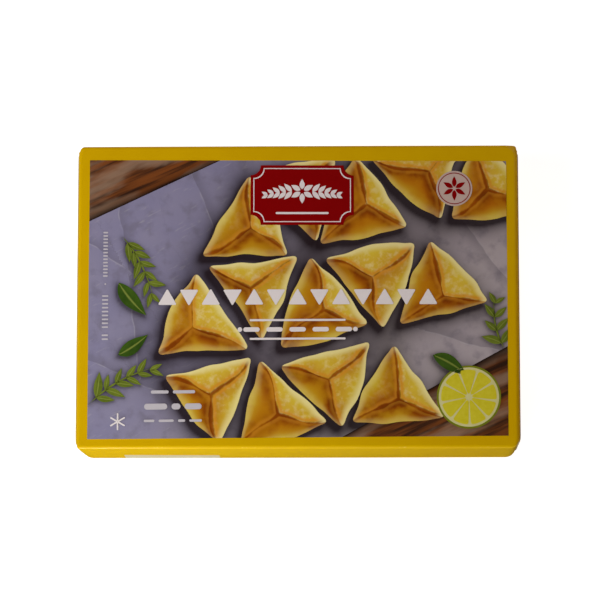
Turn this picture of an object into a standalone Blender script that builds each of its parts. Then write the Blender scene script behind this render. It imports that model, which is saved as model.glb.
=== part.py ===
"""A shut paperboard freezer carton, lying on its back with its printed front panel up.

The carton is one folded and glued sheet of board that can't be seen into, so it is one solid.
X runs along the front panel as it is read, Y up the panel, and Z up from the table.
The origin is on the table, under the middle of the carton. All sizes are in metres.
"""

import math

import bmesh
import bpy
from mathutils import Matrix, Vector

# The carton's outer size
WIDTH = 0.250
HEIGHT = 0.173
DEPTH = 0.045

# The board, and the radius that it takes where it is folded
BOARD = 0.0005
FOLD_RADIUS = 0.0018
FOLD_STEPS = 3

# The glued end flaps. The outer one comes up from the back panel and stops short of the front fold.
OUTER_FLAP_STOPS_SHORT = 0.0045
FLAP_SIDE_MARGIN = 0.0028
STEP_RUN = 0.0002
END_ZONE = 0.006

# The side seam: the last panel laps the glue flap along the back edge of the upper side
SEAM_HEIGHT = 0.0024
SEAM_STEP = 0.0004

# How far the filled carton's panels stand out of flat
FRONT_BOW = 0.0009
SIDE_BOW = 0.0005

# Board softened at the four upright corners: the radius in plan at the front and at the back
CORNER_SOFTENING = {
    (-1, 1): (0.0042, 0.0024),
    (1, 1): (0.0014, 0.0024),
    (-1, -1): (0.0016, 0.0078),
    (1, -1): (0.0062, 0.0080),
}

# Plain spacing of the grid that carries the bow
GRID_X = 14
GRID_Y = 10
GRID_Z = 3

PART_NAME = "carton"
COLLECTION_NAME = "freezer_carton"


def clear_scene():
    """Removes every object that the file opened with."""
    for item in list(bpy.data.objects):
        bpy.data.objects.remove(item, do_unlink=True)


def even_cuts(low, high, count):
    """Places that divide low to high into count equal strips, both ends included."""
    return [low + (high - low) * i / count for i in range(count + 1)]


def mirrored(places):
    """The same places on both sides of zero."""
    return [side * place for side in (-1, 1) for place in places]


def cuts_across_x():
    """Grid lines along X: the bowed field, then the softened corners."""
    field = WIDTH / 2 - END_ZONE
    corner = WIDTH / 2 - 0.6 * END_ZONE
    return even_cuts(-field, field, GRID_X) + mirrored([corner])


def cuts_across_y():
    """Grid lines along Y: the bowed field, the softened corners and the flaps' side edges."""
    field = HEIGHT / 2 - END_ZONE
    corner = HEIGHT / 2 - 0.7 * END_ZONE
    flap_edge = HEIGHT / 2 - FLAP_SIDE_MARGIN
    return even_cuts(-field, field, GRID_Y) + mirrored([corner, flap_edge, flap_edge + STEP_RUN])


def cuts_across_z():
    """Grid lines along Z: the seam, the bowed field and the outer flap's free edge."""
    flap_edge = DEPTH - OUTER_FLAP_STOPS_SHORT
    low = SEAM_HEIGHT + STEP_RUN
    field = even_cuts(low, flap_edge - STEP_RUN, GRID_Z)
    return [SEAM_HEIGHT] + field + [flap_edge]


def gridded_box():
    """A box of the outer size on the table, with its faces cut along the grid lines."""
    mesh = bmesh.new()
    place = Matrix.Translation((0, 0, DEPTH / 2)) @ Matrix.Diagonal((WIDTH, HEIGHT, DEPTH, 1))
    bmesh.ops.create_cube(mesh, size=1, matrix=place)
    for axis, cuts in enumerate((cuts_across_x(), cuts_across_y(), cuts_across_z())):
        normal = Vector([float(i == axis) for i in range(3)])
        for cut in cuts:
            geometry = mesh.verts[:] + mesh.edges[:] + mesh.faces[:]
            bmesh.ops.bisect_plane(mesh, geom=geometry, plane_co=normal * cut, plane_no=normal)
    return mesh


def lies_on_a_fold(edge):
    """True for a piece of the box's twelve outer edges, where two faces meet at a right angle."""
    return edge.calc_face_angle(0.0) > math.radians(45)


def round_folds(mesh):
    """Gives every fold of the board its radius."""
    folds = [edge for edge in mesh.edges if lies_on_a_fold(edge)]
    bmesh.ops.bevel(
        mesh,
        geom=folds,
        offset=FOLD_RADIUS,
        offset_type="OFFSET",
        segments=FOLD_STEPS,
        profile=0.5,
        affect="EDGES",
    )


def smooth_step(low, high, value):
    """0 at low and 1 at high, level at both ends."""
    share = min(1.0, max(0.0, (value - low) / (high - low)))
    return share * share * (3 - 2 * share)


def flap_layers(y, z):
    """How many glued flaps cover the dust flaps at this place of an end: 0, 1 or 2."""
    if abs(y) > HEIGHT / 2 - FLAP_SIDE_MARGIN + STEP_RUN / 2:
        return 0
    if z > DEPTH - OUTER_FLAP_STOPS_SHORT - STEP_RUN / 2:
        return 1
    return 2


def lay_flaps(point):
    """Draws an end in by one board for each flap that is missing there."""
    missing = 2 - flap_layers(point.y, point.z)
    share = smooth_step(WIDTH / 2 - END_ZONE, WIDTH / 2 - FOLD_RADIUS, abs(point.x))
    point.x -= math.copysign(missing * BOARD * share, point.x)


def lap_seam(point):
    """Draws the upper side in below the seam, where the glue flap's fold shows."""
    if point.y > 0 and point.z < SEAM_HEIGHT + STEP_RUN / 2:
        share = smooth_step(HEIGHT / 2 - FLAP_SIDE_MARGIN, HEIGHT / 2 - FOLD_RADIUS, point.y)
        point.y -= SEAM_STEP * share


def arch(share):
    """1 in the middle of a panel and 0 at its folds, for a share from -1 to 1 across it."""
    return max(0.0, 1 - share * share)


def bow_panels(point):
    """Swells the front panel and the two long sides. The back stays flat to rest on."""
    along = arch(point.x / (WIDTH / 2))
    across = arch(point.y / (HEIGHT / 2))
    upright = arch(2 * point.z / DEPTH - 1)
    front = smooth_step(DEPTH / 2, DEPTH, point.z)
    side = smooth_step(HEIGHT / 2 - END_ZONE, HEIGHT / 2 - FOLD_RADIUS, abs(point.y))
    point.z += FRONT_BOW * along * across * front
    point.y += math.copysign(SIDE_BOW * along * upright * side, point.y)


def soften_corner(point):
    """Turns a square corner of the plan into an arc, by the usual map from a square to a disc."""
    side_x = 1 if point.x > 0 else -1
    side_y = 1 if point.y > 0 else -1
    front, back = CORNER_SOFTENING[side_x, side_y]
    radius = back + (front - back) * point.z / DEPTH
    u = (abs(point.x) - (WIDTH / 2 - radius)) / radius
    v = (abs(point.y) - (HEIGHT / 2 - radius)) / radius
    if u <= 0 or v <= 0:
        return
    point.x = side_x * (WIDTH / 2 - radius + radius * u * math.sqrt(max(0.0, 1 - v * v / 2)))
    point.y = side_y * (HEIGHT / 2 - radius + radius * v * math.sqrt(max(0.0, 1 - u * u / 2)))


def shape_board(mesh):
    """Lays the flaps and the seam, bows the panels and softens the corners."""
    for vertex in mesh.verts:
        lay_flaps(vertex.co)
        lap_seam(vertex.co)
        bow_panels(vertex.co)
        soften_corner(vertex.co)


def varnished_board():
    """Solid yellow ink under a gloss varnish."""
    material = bpy.data.materials.new("varnished_yellow_board")
    material.use_nodes = True
    shader = material.node_tree.nodes["Principled BSDF"]
    shader.inputs["Base Color"].default_value = (0.72, 0.44, 0.008, 1)
    shader.inputs["Roughness"].default_value = 0.32
    shader.inputs["Metallic"].default_value = 0.0
    return material


def build_carton():
    """Makes the carton and puts it in its own collection."""
    mesh = gridded_box()
    round_folds(mesh)
    shape_board(mesh)
    bmesh.ops.recalc_face_normals(mesh, faces=mesh.faces[:])
    data = bpy.data.meshes.new(PART_NAME)
    mesh.to_mesh(data)
    mesh.free()
    data.shade_smooth()
    data.set_sharp_from_angle(angle=math.radians(35))
    data.materials.append(varnished_board())
    carton = bpy.data.objects.new(PART_NAME, data)
    collection = bpy.data.collections.new(COLLECTION_NAME)
    bpy.context.scene.collection.children.link(collection)
    collection.objects.link(carton)


clear_scene()
build_carton()
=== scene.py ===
# %% [markdown]
# # A shut freezer carton
# A flat paperboard box lies on its back, yellow all over, with a picture on its front panel.
# Every shape is worked out with numpy as a function of two parameters, so a reader can see the
# formula behind each surface, and change one number to change the shape.

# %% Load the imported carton
import math

import bmesh
import bpy
import numpy as np
from mathutils import Matrix, Vector


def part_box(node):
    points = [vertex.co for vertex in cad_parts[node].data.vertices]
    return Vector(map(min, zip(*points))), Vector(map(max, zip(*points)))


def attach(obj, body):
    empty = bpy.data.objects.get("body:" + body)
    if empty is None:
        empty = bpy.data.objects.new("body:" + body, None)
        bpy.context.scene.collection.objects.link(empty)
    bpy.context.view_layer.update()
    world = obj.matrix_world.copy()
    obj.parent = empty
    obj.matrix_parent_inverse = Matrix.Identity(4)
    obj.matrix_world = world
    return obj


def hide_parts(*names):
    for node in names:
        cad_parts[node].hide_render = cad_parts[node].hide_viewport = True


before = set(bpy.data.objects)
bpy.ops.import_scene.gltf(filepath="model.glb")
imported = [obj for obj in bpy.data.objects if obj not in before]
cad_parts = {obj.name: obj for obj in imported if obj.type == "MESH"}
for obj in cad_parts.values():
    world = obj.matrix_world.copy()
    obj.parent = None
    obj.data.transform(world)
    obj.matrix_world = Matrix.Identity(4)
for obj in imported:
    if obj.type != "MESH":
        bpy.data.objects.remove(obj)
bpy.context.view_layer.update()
carton_low, carton_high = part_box("carton")
print("carton from", tuple(carton_low), "to", tuple(carton_high))

# %% [markdown]
# ## The carton's sizes
# These are the construction's own values, in metres. The filling pushes the front panel a little
# out of flat, and the board takes a small radius wherever it is folded.

# %% Name the sizes
WIDTH, HEIGHT, DEPTH = 0.250, 0.173, 0.045
HALF_WIDTH, HALF_HEIGHT, HALF_DEPTH = WIDTH / 2, HEIGHT / 2, DEPTH / 2
BOARD, FOLD_RADIUS = 0.0005, 0.0018
FRONT_BOW, SIDE_BOW = 0.0009, 0.0005
END_ZONE, FLAP_SIDE_MARGIN = 0.006, 0.0028
SEAM_HEIGHT, SEAM_STEP = 0.0024, 0.0004
BACK_LIFT = 0.0001
# the radius in plan of each upright corner, at the front and at the back
CORNER_SOFTENING = {(-1, 1): (0.0042, 0.0024), (1, 1): (0.0014, 0.0024),
                    (-1, -1): (0.0016, 0.0078), (1, -1): (0.0062, 0.0080)}
SLEEVE_END = HALF_WIDTH - 2 * BOARD
print(f"board {BOARD * 1000} mm, folds {FOLD_RADIUS * 1000} mm, sleeve ends at {SLEEVE_END * 1000} mm")

# %% [markdown]
# ## From a grid of points to a mesh
# A surface is an array of points in rows and columns. Neighbouring points make a quad, and array
# arithmetic numbers all the quads at once. Several grids can share a mesh, so a row of small shapes
# is one piece. Points that meet are merged, which closes seams.

# %% Turn grids into meshes
MERGE_DISTANCE = 2e-6
SHARP_ANGLE = math.radians(40)


def scene_object(name, data):
    """An object for a mesh, lamp or camera, put in the scene."""
    made = bpy.data.objects.new(name, data)
    bpy.context.scene.collection.objects.link(made)
    return made


def grid_quads(count, rows, columns, joined):
    """Quad (r, c) uses points r*columns+c, the next in its row, and the two above them.
    In a joined grid the last column meets the first."""
    r, c = np.meshgrid(np.arange(rows - 1), np.arange(columns if joined else columns - 1), indexing="ij")
    row, after = r * columns, (c + 1) % columns
    quads = np.stack([row + c, row + after, row + columns + after, row + columns + c], -1)
    starts = np.arange(count).reshape(-1, 1, 1) * rows * columns
    return (quads.reshape(1, -1, 4) + starts).reshape(-1, 4)


def face_outwards(points, quads, outward):
    """Reverses each quad whose diagonals' cross product points against the outward direction.
    With no direction given, outward is away from the middle of all the points."""
    corners = points[quads]
    normals = np.cross(corners[:, 2] - corners[:, 0], corners[:, 3] - corners[:, 1])
    away = corners.mean(1) - points.mean(0) if outward is None else np.asarray(outward, float)
    wrong = (normals * away).sum(-1) < 0
    quads[wrong] = quads[wrong][:, ::-1]
    return quads.tolist()


def surface(name, points, joined=False, outward=None, values=None):
    """A mesh object from points of shape (grids, rows, columns, 3), with named values per point."""
    flat = points.reshape(-1, 3)
    mesh = bpy.data.meshes.new(name)
    mesh.from_pydata(flat, [], face_outwards(flat, grid_quads(*points.shape[:3], joined), outward))
    for key, numbers in (values or {}).items():
        layer = mesh.attributes.new(key, "FLOAT", "POINT")
        layer.data.foreach_set("value", np.broadcast_to(numbers, points.shape[:3]).ravel())
    cleaner = bmesh.new()
    cleaner.from_mesh(mesh)
    bmesh.ops.remove_doubles(cleaner, verts=cleaner.verts[:], dist=MERGE_DISTANCE)
    bmesh.ops.dissolve_degenerate(cleaner, dist=MERGE_DISTANCE, edges=cleaner.edges[:])
    cleaner.to_mesh(mesh)
    cleaner.free()
    mesh.shade_smooth()
    print(f"{name}: {len(mesh.vertices)} points, {len(mesh.polygons)} faces")
    return scene_object(name, mesh)


def thicken(piece, thickness, rim_material=0):
    """Gives a sheet its thickness, inwards from the face that shows, and keeps its rim crisp:
    smooth shading would round a thin rim into a pillow, so steep edges are made sharp."""
    solid = piece.modifiers.new("thickness", "SOLIDIFY")
    solid.thickness, solid.offset, solid.material_offset_rim = thickness, -1.0, rim_material
    ready = piece.evaluated_get(bpy.context.evaluated_depsgraph_get())
    mesh = bpy.data.meshes.new_from_object(ready)
    piece.modifiers.clear()
    piece.data = mesh
    mesh.set_sharp_from_angle(angle=SHARP_ANGLE)


# %% [markdown]
# ## How the board bends
# A box of flat planes looks like no carton. Three gentle rules make it one: the panels swell in
# the middle, the upright corners are rubbed round, and one corner is knocked down. Everything
# printed on the carton goes through the same rules, so it lies on the board wherever that goes.

# %% Bend points as the board is bent
LUMP_HEIGHT = 0.00016
LUMP_WAVES = [(61.0, 23.0, 0.3), (-37.0, 68.0, 1.9), (95.0, -52.0, 4.0)]
DENT_LINE, DENT_SLOPE, DENT_DEPTH = 0.2046, 0.24, 0.008


def smooth_step(low, high, value):
    """0 at low and 1 at high, level at both ends: 3t² − 2t³ of the share t of the way."""
    share = np.clip((value - low) / (high - low), 0.0, 1.0)
    return share * share * (3 - 2 * share)


def arch(share):
    """A parabola, 1 in the middle of a panel and 0 at its folds."""
    return np.maximum(0.0, 1 - share * share)


def lumps(x, y):
    """The mean of three crossing sine waves, as the filling shows through the front panel."""
    return LUMP_HEIGHT * sum(np.sin(a * x + b * y + c) for a, b, c in LUMP_WAVES) / len(LUMP_WAVES)


def bow_panels(points):
    """Swells the front by a parabola along X times one along Y, and the long sides likewise."""
    x, y, z = np.moveaxis(points, -1, 0)
    along, across, upright = arch(x / HALF_WIDTH), arch(y / HALF_HEIGHT), arch(2 * z / DEPTH - 1)
    front = smooth_step(HALF_DEPTH, DEPTH, z)
    side = smooth_step(HALF_HEIGHT - END_ZONE, HALF_HEIGHT - FOLD_RADIUS, np.abs(y))
    return np.stack([x, y + np.sign(y) * SIDE_BOW * along * upright * side,
                     z + (FRONT_BOW + lumps(x, y)) * along * across * front], -1)


def soften_corners(points):
    """Turns each square corner of the plan into an arc, by the map from a square to a disc:
    u becomes u times the root of 1 − v²/2, and v likewise."""
    x, y, z = np.moveaxis(points, -1, 0)
    for (side_x, side_y), (front, back) in CORNER_SOFTENING.items():
        radius = back + (front - back) * z / DEPTH
        flat_x, flat_y = HALF_WIDTH - radius, HALF_HEIGHT - radius
        u, v = (side_x * x - flat_x) / radius, (side_y * y - flat_y) / radius
        inside = (u > 0) & (v > 0)
        x = np.where(inside, side_x * (flat_x + radius * u * np.sqrt(np.maximum(0, 1 - v * v / 2))), x)
        y = np.where(inside, side_y * (flat_y + radius * v * np.sqrt(np.maximum(0, 1 - u * u / 2))), y)
    return np.stack([x, y, z], -1)


def dent_corner(points):
    """Past the line x + y = DENT_LINE, the front's knocked corner drops in step with the distance."""
    x, y, z = np.moveaxis(points, -1, 0)
    past = np.maximum(0.0, x + y - DENT_LINE)
    return np.stack([x, y, z - DENT_SLOPE * past * smooth_step(DEPTH - DENT_DEPTH, DEPTH, z)], -1)


def bend(points):
    """All the rules, in the order that the carton met them: filled, handled, knocked."""
    return dent_corner(soften_corners(bow_panels(points)))


# %% [markdown]
# ## Where a printed field lies
# Two faces in one plane flicker in a render, so each printed field is a film a few hundredths of a
# millimetre above the last. A panel function takes a place on the flat panel and how many films lie
# below, and returns the place in space. The front's print isn't quite true to the board: it gets
# narrower to the right, and its border wider.

# %% Map flat panels into space
FILM, FILM_STEP = 0.00004, 0.000055
PRINT_TAPER, PRINT_SHIFT = 0.078, -0.00025


def make_panel(outward, place, step=FILM_STEP):
    """The flat place of (u, v), bent, then lifted outwards by a step for each layer."""
    def on_panel(u, v, layer):
        flat = np.stack(np.broadcast_arrays(*place(u, v)), -1)
        return bend(flat) + layer * step * np.array(outward)
    on_panel.outward = outward
    return on_panel


def on_front_flat(u, v):
    """u runs along X and v along Y, where v becomes v × (1 − taper × u) + shift."""
    return u, v * (1 - PRINT_TAPER * u) + PRINT_SHIFT, DEPTH


# on the other panels too, u runs to the right and v upwards as each is read from outside
on_front = make_panel((0, 0, 1), on_front_flat)
on_back = make_panel((0, 0, -1), lambda u, v: (-u, v, BACK_LIFT), FILM_STEP / 2)
on_lower_side = make_panel((0, -1, 0), lambda u, v: (u, -HALF_HEIGHT, v))
on_upper_side = make_panel((0, 1, 0), lambda u, v: (-u, HALF_HEIGHT, v))
on_left_end = make_panel((-1, 0, 0), lambda u, v: (-HALF_WIDTH, -u, v))
on_right_end = make_panel((1, 0, 0), lambda u, v: (HALF_WIDTH, u, v))
print("films are", FILM * 1000, "mm thick and", FILM_STEP * 1000, "mm apart")

# %% [markdown]
# ## Inks and varnish
# All the ink lies under one satin varnish, so the printed finishes differ only in colour. Colours
# are written as 0 to 255, as a paint picker shows them, and mixed in Blender's linear light.

# %% Node helpers
VARNISH_ROUGHNESS, VARNISH_SPECULAR = 0.26, 0.16
RIPPLE_SIZE, FIBRE_SIZE = 0.0035, 0.0004
RIPPLE_TILT, RIPPLE_HEIGHT = 0.10, 0.00006
# the Mix node has a set of sockets for each kind of value, and these are its colours'
MIX_FIRST, MIX_SECOND, MIX_RESULT = 6, 7, 2


def ink(colour):
    """Screen colour to linear light: ((c + 0.055) / 1.055) to the power 2.4, or c / 12.92 if dark."""
    share = np.array(colour) / 255
    linear = np.where(share <= 0.04045, share / 12.92, ((share + 0.055) / 1.055) ** 2.4)
    return (*linear.tolist(), 1.0)


class Recipe:
    """A material's nodes, added one at a time and linked as they are made."""

    def __init__(self, name):
        self.material = bpy.data.materials.new(name)
        self.material.use_nodes = True
        self.tree = self.material.node_tree
        self.shader = self.tree.nodes["Principled BSDF"]
        self.place = self.node("TexCoord", {}, {}, "Object")

    def feed(self, socket, value):
        """Links a node's output to a socket, or sets the socket to a value."""
        if isinstance(value, bpy.types.NodeSocket):
            self.tree.links.new(value, socket)
        else:
            socket.default_value = value

    def node(self, kind, settings, inputs, output):
        """Adds a node, makes its settings, feeds its inputs, and returns one of its outputs."""
        node = self.tree.nodes.new("ShaderNode" + kind)
        for key, setting in settings.items():
            setattr(node, key, setting)
        for key, value in inputs.items():
            self.feed(node.inputs[key], value)
        return node.outputs[output]

    def noise(self, size, detail=2.0, stretch=(1, 1, 1), turn=0.0):
        """Cloudy noise from 0 to 1, in blobs about size metres across, times stretch along turned
        axes. A Texture mapping undoes its turn before its scale, which turns the stretch as well."""
        mapped = self.node("Mapping", {"vector_type": "TEXTURE"},
                           {"Scale": stretch, "Rotation": (0, 0, turn), "Vector": self.place}, "Vector")
        return self.node("TexNoise", {}, {"Scale": 1 / size, "Detail": detail, "Vector": mapped}, "Fac")

    def value(self, name):
        """A number that the piece carries at each point."""
        return self.node("Attribute", {"attribute_name": name}, {}, "Fac")

    def step(self, value, low, high, to_low=0.0, to_high=1.0):
        """A smooth step from to_low to to_high while value goes from low to high."""
        return self.node("MapRange", {"interpolation_type": "SMOOTHSTEP"}, {
            "Value": value, "From Min": low, "From Max": high, "To Min": to_low, "To Max": to_high}, "Result")

    def math(self, kind, first, second=0.0):
        """One arithmetic step on two values."""
        return self.node("Math", {"operation": kind}, {0: first, 1: second}, "Value")

    def times(self, product, *factors):
        """The product of several values."""
        for factor in factors:
            product = self.math("MULTIPLY", product, factor)
        return product

    def mix(self, amount, *colours):
        """The first colour where the amount is 0, and the second where it is 1."""
        first, second = [ink(colour) if isinstance(colour, tuple) else colour for colour in colours]
        return self.node("Mix", {"data_type": "RGBA"},
                         {"Factor": amount, MIX_FIRST: first, MIX_SECOND: second}, MIX_RESULT)

    def coats(self, colour, *coats):
        """Lays coats over a colour in turn. Each is an amount and its own colour."""
        for amount, coat in coats:
            colour = self.mix(amount, colour, coat)
        return colour

    def finish(self, colour, roughness, height, tilt, rise):
        """Ends the recipe. The bump tilts the light by a height, without moving the surface."""
        bump = self.node("Bump", {}, {"Strength": tilt, "Distance": rise, "Height": height}, "Normal")
        for key, value in (("Base Color", colour), ("Roughness", roughness), ("Normal", bump)):
            self.feed(self.shader.inputs[key], value)
        return self.material

    def varnish(self, colour, roughness=VARNISH_ROUGHNESS):
        """Ends the recipe: ink of this colour under the carton's satin varnish."""
        self.shader.inputs["Specular IOR Level"].default_value = VARNISH_SPECULAR
        ripple = self.math("ADD", self.noise(RIPPLE_SIZE, 1.0), self.noise(FIBRE_SIZE, 2.0))
        return self.finish(colour, roughness, ripple, RIPPLE_TILT, RIPPLE_HEIGHT)


# %% [markdown]
# ## The yellow board
# Solid yellow ink covers the carton, with a faint mottle. At the folds it cracks and lets the pale
# board through. A number called fold, carried by the mesh, says how near a point is to a fold, and
# broken noise turns it into worn specks instead of an even stripe.

# %% Mix the yellow ink
YELLOW, YELLOW_DEEP, WORN_YELLOW = (215, 171, 2), (206, 160, 1), (232, 200, 84)
RAW_BOARD, RAW_BOARD_DARK = (203, 190, 164), (168, 150, 122)
MOTTLE_SIZE, WEAR_PATCH, WEAR_SPECK = 0.014, 0.019, 0.0016
FOLD_ROUGHNESS, RAW_ROUGHNESS = 0.30, 0.85


def yellow_board():
    """Mottled yellow, paler where fold and noise together are high, raw board where raw is 1."""
    recipe = Recipe("yellow_board")
    mottled = recipe.mix(recipe.noise(MOTTLE_SIZE, 3.0), YELLOW, YELLOW_DEEP)
    fold = recipe.value("fold")
    patches = recipe.step(recipe.noise(WEAR_PATCH, 2.0), 0.48, 0.64, 0.50, 1.0)
    wear = recipe.times(fold, patches, recipe.noise(WEAR_SPECK, 4.0))
    colour = recipe.coats(mottled, (recipe.step(wear, 0.36, 0.62, 0.0, 0.6), WORN_YELLOW),
                          (recipe.step(recipe.value("raw"), 0.35, 0.65), RAW_BOARD))
    return recipe.varnish(colour, recipe.step(fold, 0.2, 1.0, VARNISH_ROUGHNESS, FOLD_ROUGHNESS))


def raw_edge():
    """The cut edge of the board: pale grey-brown layers of fibre, with no varnish."""
    recipe = Recipe("raw_board_edge")
    layers = recipe.noise(0.0012, 3.0, stretch=(1, 1, 0.16))
    return recipe.finish(recipe.mix(layers, RAW_BOARD, RAW_BOARD_DARK), RAW_ROUGHNESS, layers, 0.3, 0.0001)


def dress(piece, finish):
    """Gives a piece its finish, hangs it from the root body, and hides the imported carton, which the pieces
    draw instead.
    """
    piece.data.materials.append(finish)
    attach(piece, "root")
    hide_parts("carton")


YELLOW_BOARD, RAW_EDGE = yellow_board(), raw_edge()
print("finishes:", YELLOW_BOARD.name, RAW_EDGE.name)

# %% [markdown]
# ## The sleeve
# The carton's four long panels are one sheet, wrapped round and glued. The shape is a profile
# carried along a path: a rectangle with round corners goes along X, shrinks over a quarter circle
# at each end, which makes the end's fold, and then closes to a line, which makes the end wall.
# Points are closer together near the folds, where the shape changes most.

# %% Wrap the sleeve
SPREAD = 0.96
LENGTH_STEPS, ACROSS_STEPS, UPRIGHT_STEPS = 84, 60, 14
ARC_STEPS, CAP_STEPS = 6, 7
LEAST_RADIUS, FOLD_REACH = 0.0002, 0.0014
SEAM_RUN, SEAM_EDGE, SEAM_EDGE_UP = 0.0003, 0.00025, 0.0002


def spread(half, steps):
    """Places from −half to half by a sine, so that they crowd towards both ends."""
    angle = np.linspace(-1, 1, steps + 1) * SPREAD * math.pi / 2
    return half * np.sin(angle) / math.sin(SPREAD * math.pi / 2)


def profile(half_y, half_z, radius):
    """A rectangle with round corners in YZ: a straight side, then a quarter circle, four times."""
    flat_y, flat_z = half_y - radius, half_z - radius
    run_y, run_z = spread(flat_y, ACROSS_STEPS), spread(flat_z, UPRIGHT_STEPS)
    sides = [(run_y, -half_z), (half_y, run_z), (-run_y, half_z), (-half_y, -run_z)]
    centres = [(flat_y, -flat_z), (flat_y, flat_z), (-flat_y, flat_z), (-flat_y, -flat_z)]
    parts = []
    for turn, (side, (y, z)) in enumerate(zip(sides, centres)):
        angle = math.pi / 2 * (turn - 1 + np.arange(1, ARC_STEPS) / ARC_STEPS)
        parts += [np.broadcast_arrays(*side), (y + radius * np.cos(angle), z + radius * np.sin(angle))]
    return np.concatenate(parts, 1)


def sleeve_path():
    """(x, inset) along the path: the end wall closes from the middle, rounds its fold, then runs."""
    quarter = np.linspace(math.pi / 2, 0, ARC_STEPS + 1)
    end_x = SLEEVE_END - FOLD_RADIUS * np.append(np.zeros(CAP_STEPS), 1 - np.sin(quarter))
    end_inset = np.append(np.linspace(HALF_DEPTH, FOLD_RADIUS, CAP_STEPS + 1)[:-1],
                          FOLD_RADIUS * (1 - np.cos(quarter)))
    run = spread(SLEEVE_END - FOLD_RADIUS, LENGTH_STEPS)[1:-1]
    return (np.concatenate([-end_x, run, end_x[::-1]]),
            np.concatenate([end_inset, np.zeros(run.size), end_inset[::-1]]))


def sleeve_points():
    """The rounded profile carried along the path, one ring for each place."""
    rings = []
    for x, inset in zip(*sleeve_path()):
        half_z = max(HALF_DEPTH - inset, 0.0)
        y, z = profile(HALF_HEIGHT - inset, half_z, min(max(FOLD_RADIUS - inset, LEAST_RADIUS), half_z))
        rings.append(np.stack([np.full_like(y, x), y, z + HALF_DEPTH], -1))
    return np.stack(rings)[None]


def fold_nearness(points):
    """Near a fold, two distances to the box's faces are small: e^(−(second / reach)²)."""
    middle, half = np.array([0, 0, HALF_DEPTH]), np.array([HALF_WIDTH, HALF_HEIGHT, HALF_DEPTH])
    second = np.sort(np.maximum(half - np.abs(points - middle), 0), -1)[..., 1]
    return np.exp(-((second / FOLD_REACH) ** 2))


def lap_seam(points):
    """Draws the upper side in below the seam, and marks the cut edge of the panel that laps it."""
    x, y, z = np.moveaxis(points, -1, 0)
    below = smooth_step(SEAM_HEIGHT + SEAM_RUN, SEAM_HEIGHT, z)
    outer = smooth_step(HALF_HEIGHT - FLAP_SIDE_MARGIN, HALF_HEIGHT - FOLD_RADIUS, y)
    raw = np.exp(-(((z - SEAM_HEIGHT - SEAM_EDGE_UP) / SEAM_EDGE) ** 2)) * (y > HALF_HEIGHT - 2 * BOARD)
    return np.stack([x, y - SEAM_STEP * below * outer, z], -1), raw


flat_sleeve = sleeve_points()
lapped_sleeve, seam_edge = lap_seam(flat_sleeve)
sleeve_shape = bend(lapped_sleeve)
sleeve_shape[..., 2] = np.maximum(sleeve_shape[..., 2], BACK_LIFT)
sleeve = surface("sleeve", sleeve_shape, joined=True,
                 values={"fold": fold_nearness(flat_sleeve), "raw": seam_edge})
dress(sleeve, YELLOW_BOARD)

# %% [markdown]
# ## The end flaps
# Each end is shut by two glued flaps. The inner one is the front panel folded down, and the outer
# one is the back panel folded up over it, which stops a little short of the front fold. A flap is a
# sheet carried along a J: it leaves its panel along the tangent, so that no line shows there, turns
# through the fold, and runs on to its free edge. There its thickness shows as raw board, which is
# Solidify's second material.

# %% Fold the end flaps
INNER_FLAP_REACH, OUTER_FLAP_REACH = 0.82 * DEPTH, DEPTH - 0.0045
FLAP_TAPER, FLAP_CORNER = 0.0012, 0.0035
FLAP_LEAD_IN, FLAP_DIP = 0.0012, 0.00003
FLAP_ROWS, FLAP_COLUMNS, FLAP_ARC = 30, 56, 9
FLAP_CROWDING = 0.8


def flap_path(layers, free_end):
    """x and height along the J: the lead-in, a quarter circle of the fold's radius plus the layers
    below, and the straight wall. Height counts from the flap's own panel."""
    radius, start = FOLD_RADIUS + layers * BOARD, SLEEVE_END - FOLD_RADIUS
    angle = np.linspace(0, math.pi / 2, FLAP_ARC)
    wall = radius + (free_end - radius) * np.linspace(0, 1, FLAP_ROWS)[1:] ** FLAP_CROWDING
    x = np.concatenate([[start - FLAP_LEAD_IN], start + radius * np.sin(angle),
                        np.full(wall.size, start + radius)])
    return x, np.concatenate([[FLAP_DIP], radius * (1 - np.cos(angle)), wall])


def flap(name, side, from_front, layers, free_end):
    """The J swept along Y. Its half width narrows by the taper, and by a quarter circle at the end."""
    x, height = flap_path(layers, free_end)
    to_end = np.clip(1 - (free_end - height) / FLAP_CORNER, 0, 1)
    half = HALF_HEIGHT - FLAP_SIDE_MARGIN - FLAP_TAPER * height / free_end
    half -= FLAP_CORNER * (1 - np.sqrt(1 - to_end ** 2))
    y = half[:, None] * np.sin(np.linspace(-1, 1, FLAP_COLUMNS) * math.pi / 2)
    z = DEPTH - height if from_front else height + BACK_LIFT
    flat = np.stack(np.broadcast_arrays(side * x[:, None], y, z[:, None]), -1)[None]
    values = {"fold": fold_nearness(flat), "raw": 0.0}
    piece = surface(name, bend(flat), outward=(side, 0, 1 if from_front else -1), values=values)
    dress(piece, YELLOW_BOARD)
    piece.data.materials.append(RAW_EDGE)
    thicken(piece, BOARD, rim_material=1)


for side, side_name in ((-1, "left"), (1, "right")):
    flap(f"inner_flap_{side_name}", side, True, 1, INNER_FLAP_REACH)
    flap(f"outer_flap_{side_name}", side, False, 2, OUTER_FLAP_REACH)

# %% [markdown]
# ## Outlines for printed fields
# A printed field is a flat shape, held as u and v in one array of (2, shapes, rows, columns). Most
# are star-shaped: every point of the outline can be seen from the middle, so rows of points can go
# from the middle to the outline, close enough together to follow the bowed board.

# %% Draw outlines
QUARTER = math.pi / 2


def around(count):
    """Evenly spaced angles, once round."""
    return np.linspace(0, 2 * math.pi, count, endpoint=False)


def shaped(form, *numbers):
    """Numbers brought to one size, and then to one form."""
    return [a.reshape(form) for a in np.broadcast_arrays(*numbers)]


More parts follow.
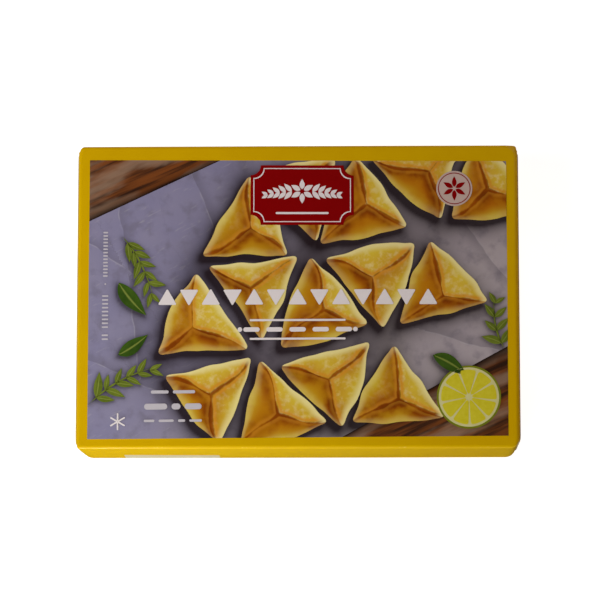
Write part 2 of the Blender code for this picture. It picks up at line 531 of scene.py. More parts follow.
def put(u, v, centre_u, centre_v, angle):
    """Points turned by the angle, then moved to the centre."""
    return np.array([centre_u + np.cos(angle) * u - np.sin(angle) * v,
                     centre_v + np.sin(angle) * u + np.cos(angle) * v])


def between(first, second, steps):
    """Rows (1 − t) × one line of points + t × the other. A line is an array (2, shapes, points)."""
    t = np.linspace(0, 1, steps + 1)[:, None]
    return (1 - t) * first[:, :, None] + t * second[:, :, None]


def filled(outline, centre, rings):
    """Rows from the centre of each shape to its outline."""
    return between(np.reshape(centre, (2, -1, 1)), outline, rings)


def eased(outline, reach=1):
    """A closed outline with each point averaged with its neighbours, which rounds its corners."""
    return sum(np.roll(outline, k, -1) for k in range(-reach, reach + 1)) / (2 * reach + 1)


def box_field(centre, half, radius=0.0008, rings=8, per_side=14, arc=4, scooped=False):
    """A box with straight sides and quarter circles, which bulge, or are scooped out of its corners."""
    sweep = np.linspace(0, QUARTER, arc + 1)
    share = np.linspace(0, 1, per_side + 1)[1:-1]
    inset = 0.0 if scooped else radius
    arcs = [put(radius, 0.0, centre[0] + side_u * (half[0] - inset), centre[1] + side_v * (half[1] - inset),
                QUARTER * (k + 2) - sweep if scooped else QUARTER * (k - 1) + sweep)
            for k, (side_u, side_v) in enumerate([(1, -1), (1, 1), (-1, 1), (-1, -1)])]
    parts = []
    for arc_here, arc_next in zip(arcs, arcs[1:] + arcs[:1]):
        start, end = arc_here[:, -1:], arc_next[:, :1]
        parts += [arc_here, start + share * (end - start)]
    return filled(np.concatenate(parts, 1)[:, None], centre, rings)


def disc(centre, radius, points=72, rings=8):
    """A circle about its centre."""
    return filled(put(radius, 0.0, *centre, around(points)[None]), centre, rings)


def bars(centre_u, centre_v, length, width, angle=0.0):
    """Thin bars with round ends, one for each centre. Lengths, widths and angles may differ."""
    *centre, length, width, angle = shaped((-1, 1), centre_u, centre_v, length, width, angle)
    cos, sin = np.cos(around(28)), np.sin(around(28))
    u = (length - width) / 2 * np.sign(cos) + width / 2 * cos
    return filled(put(u, width / 2 * sin, *centre, angle), centre, 4)


def together(*shapes):
    """Several batches of shapes of one grid size as a single batch."""
    return np.concatenate(shapes, 1)


def printed(name, shape, layer, finish, panel=on_front, joined=True, values=None):
    """A film on a panel, dressed in its ink."""
    piece = surface(name, panel(*shape, layer), joined=joined, outward=panel.outward, values=values)
    dress(piece, finish)
    thicken(piece, FILM)


# %% [markdown]
# ## The pastries' layout
# The picture shows baked triangular pastries on grey baking paper, in slanting rows, point up and
# point down by turns, as triangles pack best on a tray. A seeded draw moves and turns each a little,
# so no two are alike, and the film is cut off at the picture's edge.

# %% Lay out the pastries
PICTURE_LEFT, PICTURE_RIGHT = -0.1180, 0.1180
PICTURE_LOW, PICTURE_HIGH = -0.0801, 0.0780
ROW_SLANT = math.radians(9)
COLUMN_STEP, ROW_STEP, TRIANGLE_RISE = 0.0345, 0.0535, 0.0072
TIP_REACH = 0.0300
TRAY_SHIFT, TRAY_END = (0.012, -0.002), 0.112
JITTER = np.random.default_rng(11)


def trimmed(shape):
    """Holds every point inside the picture; what collapses on its edge is dissolved."""
    return np.clip(shape[0], PICTURE_LEFT, PICTURE_RIGHT), np.clip(shape[1], PICTURE_LOW, PICTURE_HIGH)


def tray_places():
    """Lattice places (column, row), turned by the slant, without the corners kept for other things."""
    column, row = [a.ravel() for a in np.meshgrid(np.arange(-3, 4), np.arange(-1, 2))]
    points_up = (column + row) % 2 == 0
    rise = np.where(points_up, -TRIANGLE_RISE, TRIANGLE_RISE)
    place = put(column * COLUMN_STEP + TRAY_SHIFT[0], row * ROW_STEP + rise + TRAY_SHIFT[1], 0, 0, ROW_SLANT)
    left_free = (column == -3) | ((column == -2) & (row == 1))
    citrus_corner = (row == -1) & (column >= 2)
    kept = ~(left_free | citrus_corner) & (place[0] < TRAY_END)
    return place[:, kept], np.where(points_up[kept], 1, -1)


tray, tray_up = tray_places()
pastry_count = tray_up.size
pastry_turn = ROW_SLANT + tray_up * QUARTER + JITTER.normal(0, 0.10, pastry_count)
tip_angle = pastry_turn[:, None] + around(3) + JITTER.normal(0, 0.05, (pastry_count, 3))
tip_reach = TIP_REACH * (1 + JITTER.normal(0, 0.045, (pastry_count, 3)))
middle = tray + JITTER.normal(0, 0.0012, tray.shape)
tip = put(tip_reach, 0.0, *middle[..., None], tip_angle)
peak = middle + JITTER.normal(0, 0.0022, tray.shape)
print(pastry_count, "pastries in the picture")

# %% [markdown]
# ## The shape of one pastry
# A round of dough is drawn up into three sides that meet along three seams. From above it is a
# triangle with pinched tips. Each side leaves its tip straight and then swells by a squared sine, a
# running average rounds the tips, and a few sine waves make the outline handmade. Last, the points
# between peak and rim turn a little about the peak, which curls the seams.

# %% Work out the pastries' outlines
POINTS_PER_SIDE, PASTRY_RINGS = 32, 18
TIP_SMOOTHING = 2
WOBBLE, WOBBLE_WAVES = 0.00045, [(5, 1.0), (8, 0.6), (13, 0.2)]
SIDE_SWELL = JITTER.uniform(-0.030, 0.085, (pastry_count, 3, 1))
WOBBLE_PHASE = JITTER.uniform(0, 2 * math.pi, (pastry_count, 3))
SEAM_CURL = JITTER.uniform(-0.16, 0.16, (pastry_count, 1, 1))
BAKE = JITTER.uniform(0.0, 1.0, (pastry_count, 1, 1))
RING_SHARE = np.linspace(0, 1, PASTRY_RINGS + 1)[:, None]


def pastry_outlines():
    """Tip to tip along the straight side, plus swell × side length × sin² outwards; then averaged."""
    share = np.arange(POINTS_PER_SIDE) / POINTS_PER_SIDE
    run = (np.roll(tip, -1, -1) - tip)[..., None]
    out = SIDE_SWELL * np.sin(math.pi * share) ** 2 * np.array([run[1], -run[0]])
    outline = eased((tip[..., None] + share * run + out).reshape(2, pastry_count, -1), TIP_SMOOTHING)
    wave = sum(height * np.sin(n * around(outline.shape[-1]) + WOBBLE_PHASE[:, k:k + 1])
               for k, (n, height) in enumerate(WOBBLE_WAVES))
    spoke = outline - peak[..., None]
    return outline + WOBBLE * wave / np.hypot(*spoke) * spoke


def curled(points):
    """Turns each ring about the peak by curl × sin(π × share), so peak and rim stay in place."""
    centre = peak[..., None, None]
    return put(*(points - centre), *centre, SEAM_CURL * np.sin(math.pi * RING_SHARE))


def segment_distance(points, start, end):
    """Distance from points to a straight segment, by the nearest share along it."""
    run, gap = end - start, points - start
    share = np.clip((gap * run).sum(0) / np.maximum((run ** 2).sum(0), 1e-18), 0, 1)
    return np.hypot(*(gap - share * run))


outlines = pastry_outlines()
pastries = filled(outlines, peak, PASTRY_RINGS)
print("a pastry is about", round(1000 * float(np.ptp(outlines[0, 0])), 1), "mm wide")

# %% [markdown]
# ## Light and browning on the dough
# The picture's own light comes from the upper right. Four numbers at each point are enough to colour
# the dough: how much light its side gets, how far the nearest seam and the rim are, and how long
# this pastry was baked. The oven browns the seams most, and the rim least.

# %% Colour the dough
PICTURE_LIGHT = math.radians(52)
CREAM_DOUGH, LEMON_DOUGH, PALE_DOUGH = (238, 222, 158), (212, 188, 54), (220, 186, 62)
GOLDEN_DOUGH, TOASTED_DOUGH = (190, 142, 20), (186, 118, 16)
RIDGE_ORANGE, SEAM_BROWN, DEEP_BROWN = (212, 140, 40), (172, 84, 10), (92, 38, 8)
CLOUD_SIZE, GRAIN_SIZE, SWING_SIZE = 0.010, 0.0028, 0.013
TOAST_REACH, SHADE_REACH = 0.014, 0.0085
LEMON_REACH, PALE_RIM_REACH = 0.0095, 0.0050
SEAM_SWING, SEAM_FRAY = 0.0011, 0.0009


def side_light():
    """Half of one plus the cosine between the side's outward direction and the light."""
    out_u, out_v = (tip + np.roll(tip, -1, -1)) / 2 - middle[..., None]
    light = 0.5 + 0.5 * np.cos(np.arctan2(out_v, out_u) - PICTURE_LIGHT)
    return np.repeat(light, POINTS_PER_SIDE, axis=1)[:, None]


def seam_distance():
    """The least distance to the three seams, which run from the peak to the tips."""
    return np.minimum.reduce([segment_distance(pastries, peak[..., None, None], tip[..., k, None, None])
                              for k in range(3)])


def rim_distance():
    """Along each spoke, what is left of the way to the outline."""
    return np.hypot(*(outlines - peak[..., None]))[:, None] * (1 - RING_SHARE)


def dough():
    """Golden on dull sides and pale on lit ones, lemon towards the rim, and toasted in cloudy patches
    near the seams. A seam is a brown line with an orange ridge beside it."""
    recipe = Recipe("baked_dough_print")
    step, times, noise = recipe.step, recipe.times, recipe.noise
    light, seam, rim, bake = [recipe.value(name) for name in ("light", "seam", "rim", "bake")]
    cloud, grain = noise(CLOUD_SIZE, 3.0), noise(GRAIN_SIZE, 3.0)
    lit = step(recipe.math("ADD", light, times(cloud, 0.6)), 0.50, 1.25)
    cream = times(lit, step(grain, 0.42, 0.75, 0.0, 0.7))
    lemon = times(step(rim, 0.0, LEMON_REACH, 0.80, 0.0), step(cloud, 0.30, 0.62, 0.4, 1.0))
    patch = step(cloud, 0.34, 0.66, 0.35, 1.15)
    toast = times(step(seam, 0.0, TOAST_REACH, 1.0, 0.0), step(light, 0.10, 1.0, 1.0, 0.30), patch)
    shade = times(step(seam, 0.0, SHADE_REACH, 1.0, 0.0), step(light, 0.0, 0.8, 0.85, 0.0), patch)
    swing = step(noise(SWING_SIZE, 1.0), 0.3, 0.7, 0.0, SEAM_SWING)
    frayed = recipe.math("ADD", recipe.math("ADD", seam, swing), times(grain, SEAM_FRAY))
    ridge = times(step(frayed, 0.0014, 0.0022), step(frayed, 0.0024, 0.0044, 1.0, 0.0),
                  step(light, 0.1, 0.8, 0.35, 0.8))
    crack = step(frayed, 0.0010, 0.0021, 0.9, 0.0)
    pale_rim = times(step(rim, 0.0004, PALE_RIM_REACH, 0.85, 0.0), step(light, 0.2, 0.8, 0.22, 1.0))
    return recipe.varnish(recipe.coats(
        recipe.mix(bake, GOLDEN_DOUGH, TOASTED_DOUGH), (lit, PALE_DOUGH), (cream, CREAM_DOUGH),
        (lemon, LEMON_DOUGH), (toast, SEAM_BROWN), (shade, DEEP_BROWN), (ridge, RIDGE_ORANGE),
        (crack, recipe.mix(cloud, SEAM_BROWN, DEEP_BROWN)), (pale_rim, CREAM_DOUGH)))


printed("pastries_print", trimmed(curled(pastries)), 3, dough(),
        values={"light": side_light(), "seam": seam_distance(), "rim": rim_distance(), "bake": BAKE})

# %% [markdown]
# ## The wooden board
# A dark wooden board shows past the paper at two corners. Each piece of it is a four-sided field
# between two edges, with grain that is noise stretched along the planks.

# %% Print the wooden board
PLANK_TURN = math.radians(24)
WOOD_STEPS, WOOD_ROWS, EDGE_SHADOW = 24, 12, 0.12
# the start and end of the edge at the paper, then of the edge opposite
WOOD_FIELDS = [
    [(PICTURE_LEFT, 0.0430), (-0.0440, PICTURE_HIGH), (PICTURE_LEFT, PICTURE_HIGH), (-0.0800, PICTURE_HIGH)],
    [(PICTURE_RIGHT, -0.0290), (0.0250, PICTURE_LOW), (PICTURE_RIGHT, PICTURE_LOW), (0.0700, PICTURE_LOW)],
]


def four_sided(corners):
    """Rows between two straight edges, each of them (1 − s) × its start + s × its end."""
    start, end, far_start, far_end = np.array(corners)[..., None, None]
    s = np.linspace(0, 1, WOOD_STEPS + 1)
    return between((1 - s) * start + s * end, (1 - s) * far_start + s * far_end, WOOD_ROWS)


def wood_print():
    """Long dark streaks over brown, between pale scraped patches, and dark along the paper's edge."""
    recipe = Recipe("wooden_board_print")
    grain = recipe.noise(0.0034, 5.0, stretch=(11, 0.8, 1), turn=PLANK_TURN)
    patch = recipe.noise(0.016, 4.0, stretch=(3, 0.7, 1), turn=PLANK_TURN)
    return recipe.varnish(recipe.coats(
        recipe.mix(recipe.step(grain, 0.32, 0.66), (56, 34, 24), (124, 68, 32)),
        (recipe.step(patch, 0.42, 0.62, 0.0, 0.85), (146, 116, 96)), (recipe.value("edge"), (24, 12, 10))))


printed("wooden_board_print", together(*map(four_sided, WOOD_FIELDS)), 2, wood_print(), joined=False,
        values={"edge": np.exp(-np.linspace(0, 1, WOOD_ROWS + 1) / EDGE_SHADOW)[:, None]})

# %% [markdown]
# ## Leaves and sprigs
# A leaf is worked out on two parameters: one runs along its midrib, which bends a little, and the
# other goes from one edge to the other. A sprig is a thin bent stem with leaves set along it.

# %% Print the leaves
LEAF_ROWS, LEAF_COLUMNS, LEAF_FULLNESS = 16, 8, 0.8
STEM_WIDTH = 0.0011
ACROSS_LEAF = np.linspace(-1, 1, LEAF_COLUMNS + 1)


def leaves(base_u, base_v, angle, length, width, curl):
    """base + length × t along, curl × length × t² aside, ± half the width × sin(π t^0.8) across."""
    *base, angle, length, width, curl = shaped((-1, 1, 1), base_u, base_v, angle, length, width, curl)
    t = np.linspace(0, 1, LEAF_ROWS + 1)[:, None]
    aside = curl * length * t ** 2 + ACROSS_LEAF * width / 2 * np.sin(math.pi * t ** LEAF_FULLNESS)
    return put(length * t, aside, *base, angle)


def sprig(start, angle, length, bend_by, pairs, leaf_length, leaf_width, seed):
    """Leaves in pairs along a stem whose direction turns steadily by bend_by, shorter to the tip."""
    draw = np.random.default_rng(seed)
    share = np.linspace(0.12, 1.0, pairs)[:, None]
    places = put(length * share, 0.0, *start, angle + bend_by * share / 2)
    lean = np.array([-1, 1]) * (0.85 - 0.35 * share) + draw.normal(0, 0.14, (pairs, 2))
    size = (1.05 - 0.35 * share) * (1 + draw.normal(0, 0.12, (pairs, 2)))
    curl = draw.normal(0, 0.12, (pairs, 2))
    return together(
        leaves(*places, angle + bend_by * share + lean, leaf_length * size, leaf_width * size, curl),
        leaves(*start, angle, length * 1.02, STEM_WIDTH, 0.5 * bend_by))


def leaf_print(name, dark, light):
    """Green from dark to light by noise, with a pale midrib and a lighter half."""
    recipe = Recipe(name)
    across = recipe.value("across")
    rib = recipe.step(recipe.math("ABSOLUTE", across), 0.0, 0.22, 0.6, 0.0)
    return recipe.varnish(recipe.coats(
        recipe.mix(recipe.noise(0.006, 2.0), dark, light),
        (recipe.step(across, 0.0, 0.9, 0.0, 0.45), light), (rib, (150, 158, 74))))


sprigs = together(
    sprig((-0.099, 0.034), -0.85, 0.036, -0.5, 6, 0.0115, 0.0040, 3),
    sprig((-0.1165, -0.0600), 0.80, 0.038, -0.6, 6, 0.0120, 0.0042, 5),
    sprig((0.116, -0.030), 2.1, 0.026, -0.7, 4, 0.010, 0.0040, 8))
broad_leaves = leaves([-0.101, 0.0760, -0.101], [0.0080, -0.0340, -0.0330], [-1.05, -0.35, 0.45],
                      [0.024, 0.022, 0.020], [0.0092, 0.0085, 0.0080], [0.18, -0.2, 0.15])
for name, shape, layer, green in (
        ("sprigs_print", sprigs, 4, leaf_print("sprig_print", (62, 78, 22), (122, 134, 48))),
        ("leaves_print", broad_leaves, 5, leaf_print("leaf_print", (30, 54, 16), (70, 98, 30)))):
    printed(name, trimmed(shape), layer, green, joined=False, values={"across": ACROSS_LEAF})

# %% [markdown]
# ## A slice of citrus
# The slice is three films: the rind, the pale pith on it, and the wedges of flesh on the pith. All
# are circles or rounded triangles, so the same outline functions make them.

# %% Print the citrus slice
SLICE_CENTRE, SLICE_RADIUS = (0.0960, -0.0580), 0.0180
RIND, FLESH_INSET, HEART = 0.0011, 0.0024, 0.0016
WEDGES, WEDGE_GAP, WEDGE_TURN, WEDGE_STEPS = 9, 0.045, 0.2, 12


def wedge_shapes():
    """A wedge between two spokes: its outline goes out along one, along the arc, and back."""
    half, outer = math.pi / WEDGES - WEDGE_GAP, SLICE_RADIUS - FLESH_INSET
    out, arc = np.linspace(HEART, outer, WEDGE_STEPS), np.linspace(-half, half, WEDGE_STEPS)
    radius = np.concatenate([out[:-1], np.full(WEDGE_STEPS, outer), out[-2::-1]])
    angle = np.repeat(arc, [WEDGE_STEPS] + [1] * (WEDGE_STEPS - 2) + [WEDGE_STEPS])
    turn = around(WEDGES) + WEDGE_TURN
    outline = put(*eased(put(radius, 0.0, 0.0, 0.0, angle)), *SLICE_CENTRE, turn[:, None])
    return filled(outline, put(outer * 0.6, 0.0, *SLICE_CENTRE, turn), 5)


def plain_ink(name, colour, second, size=0.004):
    """One ink, with a faint second tone in its mottle."""
    recipe = Recipe(name)
    return recipe.varnish(recipe.mix(recipe.noise(size, 3.0), colour, second))


for layer, part, shape, *colours in (
        (4, "rind", disc(SLICE_CENTRE, SLICE_RADIUS), (96, 108, 22), (138, 140, 34)),
        (5, "pith", disc(SLICE_CENTRE, SLICE_RADIUS - RIND), (218, 210, 158), (202, 194, 128)),
        (6, "flesh", wedge_shapes(), (200, 184, 18), (218, 204, 62), 0.0022)):
    printed(f"citrus_{part}_print", trimmed(shape), layer, plain_ink(f"{part}_print", *colours))

# %% [markdown]
# ## The baking paper
# Soft shadow gathers on the paper beside and between the things on it, which makes them stand up
# from the flat print. It falls off with the distance from each outline, measured from a place
# shifted against the light. A thing that stands higher has a larger shift and a softer edge. The
# paper comes after them in this lesson because it needs their outlines, but its film lies lowest.

# %% Print the baking paper
PAPER_STEPS_U, PAPER_STEPS_V = 240, 160
SHADOW_RANGE = 0.06
PAPER_CREASES = [((-0.118, 0.030), (-0.060, -0.010)), ((-0.101, 0.050), (-0.088, -0.045)),
                 ((0.072, -0.020), (0.118, -0.034)), ((-0.118, -0.036), (-0.064, -0.060)),
                 ((0.118, 0.010), (0.092, 0.046)), ((-0.060, 0.072), (-0.040, 0.020))]
paper = np.array(np.meshgrid(np.linspace(PICTURE_LEFT, PICTURE_RIGHT, PAPER_STEPS_U + 1),
                             np.linspace(PICTURE_LOW, PICTURE_HIGH, PAPER_STEPS_V + 1)))


def inside_distance(points, rim):
    """Distance to the nearest side of a closed outline, and zero inside it, where a ray along u
    crosses the outline an odd number of times."""
    points, start, end = points[..., None], rim[:, None], np.roll(rim, -1, 1)[:, None]
    run_u, run_v = end - start
    spans = (start[1] > points[1]) != (end[1] > points[1])
    crossing = start[0] + (points[1] - start[1]) * run_u / np.where(run_v == 0, 1e-12, run_v)
    inside = (spans & (points[0] < crossing)).sum(-1) % 2 == 1
    return np.where(inside, 0.0, segment_distance(points, start, end).min(-1))


def leaf_rims(shape):
    """The outline of each leaf: out along one edge and back along the other."""
    return np.concatenate([shape[..., 0], shape[..., ::-1, -1]], -1)


# each kind of thing on the paper: its outlines, its shift, the reach of its shadow, and its depth
CASTERS = [
    (outlines[..., ::2], 0.0040, 0.0058, 0.95),
    (leaf_rims(broad_leaves), 0.0014, 0.0017, 0.75),
    (leaf_rims(sprigs), 0.0008, 0.0011, 0.55),
    (disc(SLICE_CENTRE, SLICE_RADIUS)[:, :, -1, ::3], 0.0022, 0.0030, 0.85),
]


def paper_shadow():
    """One minus the product of 1 − depth × e^(−distance / reach) over all outlines."""
    clear = np.ones(paper.shape[1:])
    for rims, shift, reach, depth in CASTERS:
        shifted = put(shift, 0.0, *paper, PICTURE_LIGHT)
        for rim in np.moveaxis(rims, 1, 0):
            close = (np.abs(shifted - rim.mean(1)[:, None, None]) < SHADOW_RANGE).all(0)
            clear[close] *= 1 - depth * np.exp(-inside_distance(shifted[:, close], rim) / reach)
    return 1 - clear


def paper_creases():
    """Signed distance to the nearest crease: positive to the left of its direction. A line drawn
    from it in the shader stays thin, where a bell stored at the grid's points would blur."""
    nearest = np.ones(paper.shape[1:])
    for start, end in np.array(PAPER_CREASES)[..., None, None]:
        gap, run, away = segment_distance(paper, start, end), end - start, paper - start
        side = np.sign(run[0] * away[1] - run[1] * away[0])
        nearest = np.where(gap < np.abs(nearest), gap * side, nearest)
    return nearest


def paper_print():
    """Cool grey turning warmer to the lower right, mottled, lighter at creases, dark in shadow."""
    recipe = Recipe("baking_paper_print")
    step, times, noise = recipe.step, recipe.times, recipe.noise
    cool = recipe.mix(noise(0.022, 4.0), (127, 122, 157), (146, 139, 163))
    warm = recipe.mix(noise(0.030, 4.0), (164, 152, 166), (188, 175, 174))
    blotch = step(noise(0.009, 5.0), 0.46, 0.72, 0.0, 0.42)
    scuff = step(noise(0.0026, 4.0, stretch=(3, 0.6, 1), turn=0.5), 0.60, 0.76, 0.0, 0.30)
    wander = times(recipe.math("SUBTRACT", noise(0.020, 2.0), 0.5), 0.005)
    crease = recipe.math("ADD", recipe.value("crease"), wander)
    slope = times(step(crease, 0.0, 0.0003), step(crease, 0.0003, 0.0075, 0.34, 0.0))
    line = times(step(noise(0.011, 2.0), 0.42, 0.60),
                 step(recipe.math("ABSOLUTE", crease), 0.0, 0.0007, 0.28, 0.0))
    return recipe.varnish(recipe.coats(
        recipe.mix(step(recipe.value("warmth"), 0.25, 0.9), cool, warm),
        (blotch, (104, 97, 112)), (scuff, (178, 172, 180)), (slope, (88, 82, 96)),
        (line, (186, 180, 190)), (recipe.value("shadow"), (33, 22, 26))))


warmth = ((paper[0] - PICTURE_LEFT) / (PICTURE_RIGHT - PICTURE_LEFT)
          + 0.25 * (PICTURE_HIGH - paper[1]) / (PICTURE_HIGH - PICTURE_LOW))
printed("baking_paper_print", paper[:, None], 1, paper_print(), joined=False,
        values={"shadow": paper_shadow(), "crease": paper_creases(), "warmth": warmth})

# %% [markdown]
# ## Label, badge and ornaments
# Where a pack has its title, this one has plain ornaments in the colours and at the scale of
# lettering, which say nothing: a dark red plaque with scooped corners, a pale round badge, a row of
# white triangles, a few pale bars, and a line of short ticks up the left.

# %% Print the label and the badge
LABEL_CENTRE, LABEL_HALF, LABEL_SCOOP = (0.0025, 0.0580), (0.0292, 0.0172), 0.0058
LABEL_LINE = (0.0016, 0.0021)
BADGE_CENTRE, BADGE_RADIUS, BADGE_RING = (0.0886, 0.0620), 0.0102, (0.0092, 0.0087)
RED_INK = plain_ink("dark_red_ink", (138, 4, 6), (130, 2, 5))
WHITE_INK = plain_ink("white_ink", (231, 221, 223), (225, 214, 217))
BADGE_INK = plain_ink("badge_ink", (200, 175, 166), (192, 167, 159))
NOTE_INK = plain_ink("note_ink", (198, 190, 198), (188, 180, 190))


def ornament(name, shape, layer=7, finish=WHITE_INK, panel=on_front, joined=True):
    """A field in a plain ink, which is red or one of the pale ones."""
    printed(name, shape, layer, finish, panel, joined)


def plaque(inset):
    """The label's outline, drawn in by inset."""
    half = (LABEL_HALF[0] - inset, LABEL_HALF[1] - inset)
    return box_field(LABEL_CENTRE, half, LABEL_SCOOP, rings=10, per_side=16, arc=8, scooped=True)


def band(outer, inner):
    """What lies between the outlines of two fields."""
    return between(outer[:, :, -1], inner[:, :, -1], 2)


def flower(centre, heart, length, width):
    """Six petals round a small open heart."""
    turn = around(6) + QUARTER
    return leaves(*put(heart, 0.0, *centre, turn), turn, length, width, 0.0)


ornament("label_print", plaque(0.0), finish=RED_INK)
ornament("label_line_print", band(*map(plaque, LABEL_LINE)), 8)
ornament("badge_print", disc(BADGE_CENTRE, BADGE_RADIUS, 64, 6), finish=BADGE_INK)
ornament("badge_ring_print", band(*[disc(BADGE_CENTRE, radius) for radius in BADGE_RING]), 8, RED_INK)
ornament("badge_flower_print", flower(BADGE_CENTRE, 0.0009, 0.0062, 0.0026), 8, RED_INK, joined=False)

# %% Print the rows of ornament
ROW_SHAPES = 13
TITLE_HALF_LENGTH, TITLE_V, TITLE_REACH, TITLE_DROP = 0.0735, -0.0005, 0.0062, 0.0012
SECOND_ROW_V, SECOND_RULES_V = -0.0190, [-0.0243, -0.0137]
GARLAND_CENTRE, GARLAND_REACH, GARLAND_PAIRS = (0.0025, 0.0602), 0.0195, 5
GARLAND_LEAF = (0.0064, 0.0027)
NOTE_U, NOTE_GAP, TICK_U = -0.0700, 0.0024, -0.1086
# each row of note bars: its height on the panel, its width, and the lengths of its bars
NOTE_ROWS = [(-0.0540, 0.0018, [0.0100, 0.0125]), (-0.0622, 0.0034, [0.0130, 0.0050, 0.0095]),
             (-0.0702, 0.0014, [0.0060, 0.0085, 0.0040, 0.0070])]
# each run of ticks up the left: where it starts, its step, their number and their length
TICK_RUNS = [(-0.0240, 0.0022, 2, 0.0036), (-0.0172, 0.0022, 9, 0.0036), (0.0072, 0.0, 1, 0.0010),
             (0.0118, 0.0019, 14, 0.0027)]


def triangle_row(half_length, v, reach, drop):
    """Triangles with slightly round corners in a row, point up and set lower by turns."""
    share = np.arange(12) / 12
    corner = put(reach, 0.0, 0.0, 0.0, around(3))
    outline = (corner[..., None] * (1 - share) + np.roll(corner, -1, 1)[..., None] * share).reshape(2, -1)
    up = np.where(np.arange(ROW_SHAPES) % 2 == 0, 1, -1)
    centre = np.linspace(-half_length, half_length, ROW_SHAPES), v - drop * up
    return filled(put(*eased(outline), *shaped((-1, 1), *centre, up * QUARTER)), centre, 4)


def garland():
    """A flower of six petals, and on each side leaves in pairs that shrink as they go outwards."""
    side, place, lean = np.meshgrid([-1, 1], np.linspace(0.30, 1.0, GARLAND_PAIRS), [-1, 1], indexing="ij")
    pointing = np.where(side > 0, 0.0, math.pi) + side * lean * (0.95 - 0.45 * place)
    (centre_u, centre_v), (length, width) = GARLAND_CENTRE, GARLAND_LEAF
    pairs_out = leaves(centre_u + side * GARLAND_REACH * place, centre_v - 0.0022 * place ** 2, pointing,
                       length * (1.15 - 0.55 * place), width * (1.1 - 0.4 * place), 0.0)
    return together(flower(GARLAND_CENTRE, 0.0012, length * 0.92, width * 1.1), pairs_out)


def word_bars(v, width, lengths):
    """Bars end to end with even gaps between them, the whole row centred."""
    ends = np.cumsum(np.array(lengths) + NOTE_GAP) - NOTE_GAP
    return bars(NOTE_U - ends[-1] / 2 + ends - np.array(lengths) / 2, v, lengths, width)


def ticks(start, step, count, length):
    """A run of short ticks, one above the other."""
    return bars(TICK_U, start + step * np.arange(count), length, 0.0009)


ornament("title_row_print", triangle_row(TITLE_HALF_LENGTH, TITLE_V, TITLE_REACH, TITLE_DROP))
ornament("second_row_print", together(
    bars(np.linspace(-0.026, 0.026, 5), SECOND_ROW_V, 0.0092, 0.0026),
    bars([-0.0325, 0.0325], SECOND_ROW_V, 0.0026, 0.0026), bars(0.0, SECOND_RULES_V, 0.054, 0.0012)))
ornament("label_rule_print", bars(LABEL_CENTRE[0], LABEL_CENTRE[1] - 0.0104, 0.030, 0.0012), 8)
ornament("label_ornament_print", garland(), 8, joined=False)
note_shapes = [word_bars(*row) for row in NOTE_ROWS] + [ticks(*run) for run in TICK_RUNS]
ornament("note_bars_print", together(*note_shapes), finish=NOTE_INK)
ornament("snowflake_print", bars(-0.1010, -0.0705, 0.0095, 0.0009, np.arange(3) * math.pi / 3 + QUARTER))

# %% [markdown]
# ## The other panels
# A carton is printed all round. The lower side has a pale field near the back edge, where a date
# would be stamped. The hidden panels carry the same inks, as plainly: a row of triangles on the
# upper side, a white field on each end, and on the back a cream field with grey bars.

# %% Print the sides, ends and back
GREY_INK = plain_ink("grey_ink", (112, 106, 98), (102, 96, 90))
CREAM_INK = plain_ink("cream_ink", (232, 222, 190), (226, 215, 182), 0.01)
DATE_INK = plain_ink("date_field_ink", (206, 190, 168), (200, 184, 159))
END_BARS = ([0.0, 0.0, -0.006], [0.0250, 0.0200, 0.0150], [0.070, 0.070, 0.058], 0.0014)
# the bars of one column in three paragraphs: the row of each, and its length in millimetres
BACK_ROW, BACK_MM = np.array([(0, 85), (1, 81), (2, 83), (3, 51), (5, 83), (6, 85), (7, 79), (8, 37),
                              (10, 81), (11, 83), (12, 61)]).T
BACK_TOP, BACK_ROW_STEP, BACK_COLUMNS, BACK_BAR = 0.048, 0.008, (-0.094, 0.008), 0.0016

ornament("date_field_print", box_field((-0.0720, 0.0100), (0.0270, 0.0075)), 1, DATE_INK, on_lower_side)
ornament("upper_side_row_print", triangle_row(0.060, 0.0235, 0.0068, 0.0014), 1, RED_INK, on_upper_side)
for panel, side_name in ((on_left_end, "left"), (on_right_end, "right")):
    ornament(f"end_field_{side_name}_print", box_field((0.0, 0.0200), (0.0420, 0.0115)), 1, panel=panel)
    ornament(f"end_bars_{side_name}_print", bars(*END_BARS), 2, GREY_INK, panel)
ornament("back_field_print", box_field((0.0, 0.0), (0.1020, 0.0640), 0.003, 14), 1, CREAM_INK, on_back)
ornament("back_bars_print", together(*[
    bars(left + BACK_MM / 2000, BACK_TOP - BACK_ROW_STEP * BACK_ROW, BACK_MM / 1000, BACK_BAR)
    for left in BACK_COLUMNS]), 2, GREY_INK, on_back)

# %% [markdown]
# ## Floor, light and camera
# The floor glows a little, as a light table does. A lamp near the left end makes the yellow darken
# to the right, and a broad lamp low in front lights the lower side. Both are kept out of the
# varnish's gloss, where their mirror images would hide the print from some sides. A small low lamp
# is mirrored in the fold as a short bright line, and a wide warm lamp behind fills the rest. The
# camera looks almost straight down, leaning back a little, so the lower side is just in view.

# %% Lay the floor
FLOOR_HALF, FLOOR_DROP = 3.0, 0.0001
FLOOR_LOOK = {"Base Color": (0.50, 0.50, 0.50, 1), "Roughness": 0.9, "Specular IOR Level": 0.0,
              "Emission Color": (1, 1, 1, 1), "Emission Strength": 0.91}
floor_u, floor_v = np.meshgrid(*[np.linspace(-FLOOR_HALF, FLOOR_HALF, 9)] * 2)
floor = surface("floor", np.stack([floor_u, floor_v, np.full_like(floor_u, -FLOOR_DROP)], -1)[None],
                outward=(0, 0, 1))
floor_finish = bpy.data.materials.new("pale_floor")
floor_finish.use_nodes = True
for key, value in FLOOR_LOOK.items():
    floor_finish.node_tree.nodes["Principled BSDF"].inputs[key].default_value = value
floor_finish.cycles.emission_sampling = "NONE"
floor.data.materials.append(floor_finish)
floor.visible_glossy = False

# %% Set the lights
SKY_STRENGTH = 0.008


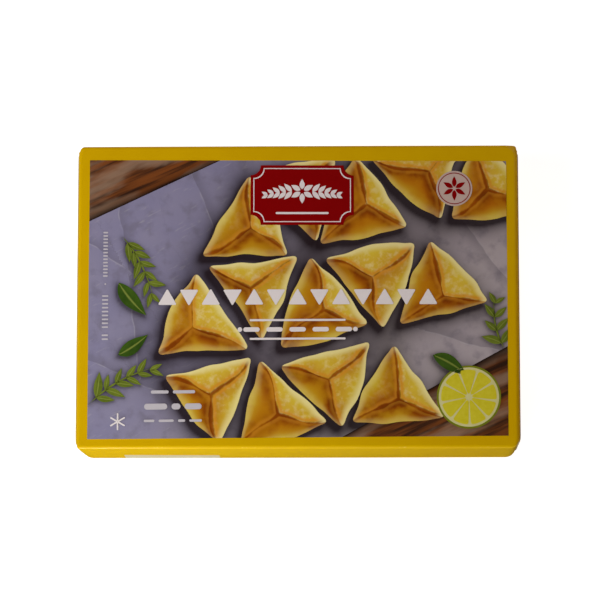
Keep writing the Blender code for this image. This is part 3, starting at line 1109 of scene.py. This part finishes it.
def lamp(name, place, target, size, power, colour, in_gloss=True):
    """A square soft lamp that faces its target, and shows in the varnish unless in_gloss is False."""
    light = bpy.data.lights.new(name, "AREA")
    light.shape, light.size, light.energy, light.color = "SQUARE", size, power, colour
    holder = scene_object(name, light)
    facing = (Vector(target) - Vector(place)).to_track_quat("-Z", "Y")
    holder.matrix_world = Matrix.Translation(place) @ facing.to_matrix().to_4x4()
    holder.visible_camera = False
    holder.visible_glossy = in_gloss
    print(f"{name}: {power} W, {size} m")


lamp("key_lamp", (-0.46, -0.08, 0.60), (-0.05, 0.0, 0.03), 0.30, 3.55, (0.98, 1.0, 0.97), False)
lamp("low_front_lamp", (-0.12, -0.53, 0.22), (-0.06, -0.06, 0.03), 0.36, 1.45, (0.90, 1.0, 0.82), False)
lamp("low_side_lamp", (-0.124, -0.29, 0.030), (-0.10, -0.08, 0.03), 0.04, 0.25, (0.90, 1.0, 0.84))
lamp("fill_lamp", (0.8, 0.9, 0.9), (0.0, 0.0, 0.0), 1.2, 5.8, (1.0, 0.73, 0.71))
sky = bpy.data.worlds.new("soft_sky")
sky.use_nodes = True
background = sky.node_tree.nodes["Background"]
background.inputs["Color"].default_value = (1, 1, 1, 1)
background.inputs["Strength"].default_value = SKY_STRENGTH
bpy.context.scene.world = sky
view = bpy.context.scene.view_settings
view.view_transform, view.look = "Standard", "None"

# %% Aim the camera
PITCH, YAW, ROLL = math.radians(-9.49), math.radians(-1.14), math.radians(-0.02)
CAMERA_OFFSET = Vector((-0.0013, 0.0023, -2.0))
SENSOR, PIXELS_ACROSS, FOCUS_IN_PIXELS = 36, 600, 3548
to_camera = Matrix.Rotation(ROLL, 3, "Z") @ Matrix.Rotation(PITCH, 3, "X") @ Matrix.Rotation(YAW, 3, "Y")
from_camera = to_camera.transposed()
camera_place = -(from_camera @ CAMERA_OFFSET) + Vector((0, 0, DEPTH))
camera_data = bpy.data.cameras.new("camera")
camera_data.lens = FOCUS_IN_PIXELS / PIXELS_ACROSS * SENSOR
camera_data.sensor_width = SENSOR
camera = scene_object("camera", camera_data)
camera.matrix_world = Matrix.Translation(camera_place) @ from_camera.to_4x4()
bpy.context.scene.camera = camera
print("camera at", tuple(round(v, 3) for v in camera_place), "lens", round(camera_data.lens, 1))
